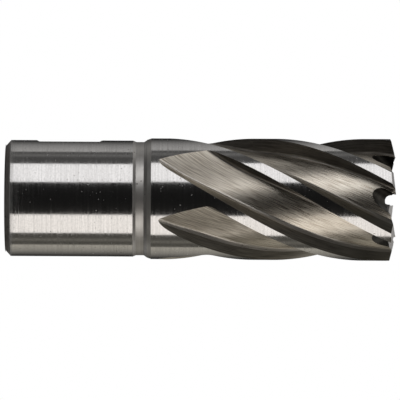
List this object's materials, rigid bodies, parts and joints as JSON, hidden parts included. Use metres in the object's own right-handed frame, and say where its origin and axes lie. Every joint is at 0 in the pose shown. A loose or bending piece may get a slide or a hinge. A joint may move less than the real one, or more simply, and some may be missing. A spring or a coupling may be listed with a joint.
{
  "type": "annular cutter",
  "caption": "Hollow broaching cutter with helical flutes, ground teeth around an open bore, and a straight shank with drive flats for a magnetic drill.",
  "frame": {"origin": "centre of the shank's end face, on the axis, where the cutter stands", "axes": "+Z along the axis from the shank to the teeth; the two drive flats face 160 and 70 degrees round from +X"},
  "size_m": [0.02, 0.02, 0.0638],
  "materials": {
    "ground_steel": "ground bright on the shank and lands, wheel-marked in the flutes"
  },
  "bodies": {
    "root": {"cutter": "ground_steel"}
  },
  "joints": []
}
